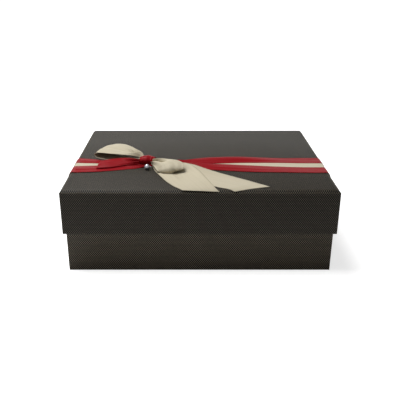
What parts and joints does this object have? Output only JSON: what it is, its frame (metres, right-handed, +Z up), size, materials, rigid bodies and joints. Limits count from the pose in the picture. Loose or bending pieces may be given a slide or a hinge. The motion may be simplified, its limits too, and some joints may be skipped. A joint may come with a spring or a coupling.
{
  "type": "gift box",
  "caption": "Shallow rectangular rigid gift box in dark printed paper, with a telescoping lift-off lid that carries a red and cream satin ribbon band and a tied bow.",
  "frame": {"origin": "centre of the underside, which stands on the table", "axes": "+X along the long side to the right, +Y to the back, +Z up; the bow's tails point to the front, -Y"},
  "size_m": [0.2912, 0.23, 0.106],
  "materials": {
    "greyboard": "raw grey chipboard",
    "kraft_stay": "gummed kraft tape",
    "printed_paper": "very dark brown paper with a fine beige dotted twill print, soft satin varnish",
    "liner_paper": "matt chocolate brown lining paper",
    "cream_satin": "cream satin ribbon with woven edges",
    "red_satin": "deep red satin ribbon with woven edges",
    "silver_metal": "polished silver-plated metal"
  },
  "bodies": {
    "base": {"base_board": "greyboard", "base_corner_stay_front_left": "kraft_stay", "base_corner_stay_front_right": "kraft_stay", "base_corner_stay_back_left": "kraft_stay", "base_corner_stay_back_right": "kraft_stay", "base_bottom_paper": "printed_paper", "base_wrap": "printed_paper", "base_floor_liner": "liner_paper", "base_wall_liner": "liner_paper"},
    "lid": {"lid_board": "greyboard", "lid_corner_stay_front_left": "kraft_stay", "lid_corner_stay_front_right": "kraft_stay", "lid_corner_stay_back_left": "kraft_stay", "lid_corner_stay_back_right": "kraft_stay", "lid_wrap": "printed_paper", "lid_top_liner": "liner_paper", "lid_wall_liner": "liner_paper", "band_cream": "cream_satin", "band_red_front": "red_satin", "band_red_rear": "red_satin", "bow_ribbon": "cream_satin", "knot_ribbon": "red_satin", "bead": "silver_metal", "bead_cap": "silver_metal"}
  },
  "joints": [
    {"name": "lid_lift", "type": "slide", "parent": "base", "child": "lid", "axis": [0, 0, 1], "range_m": [0, 0.1]}
  ]
}
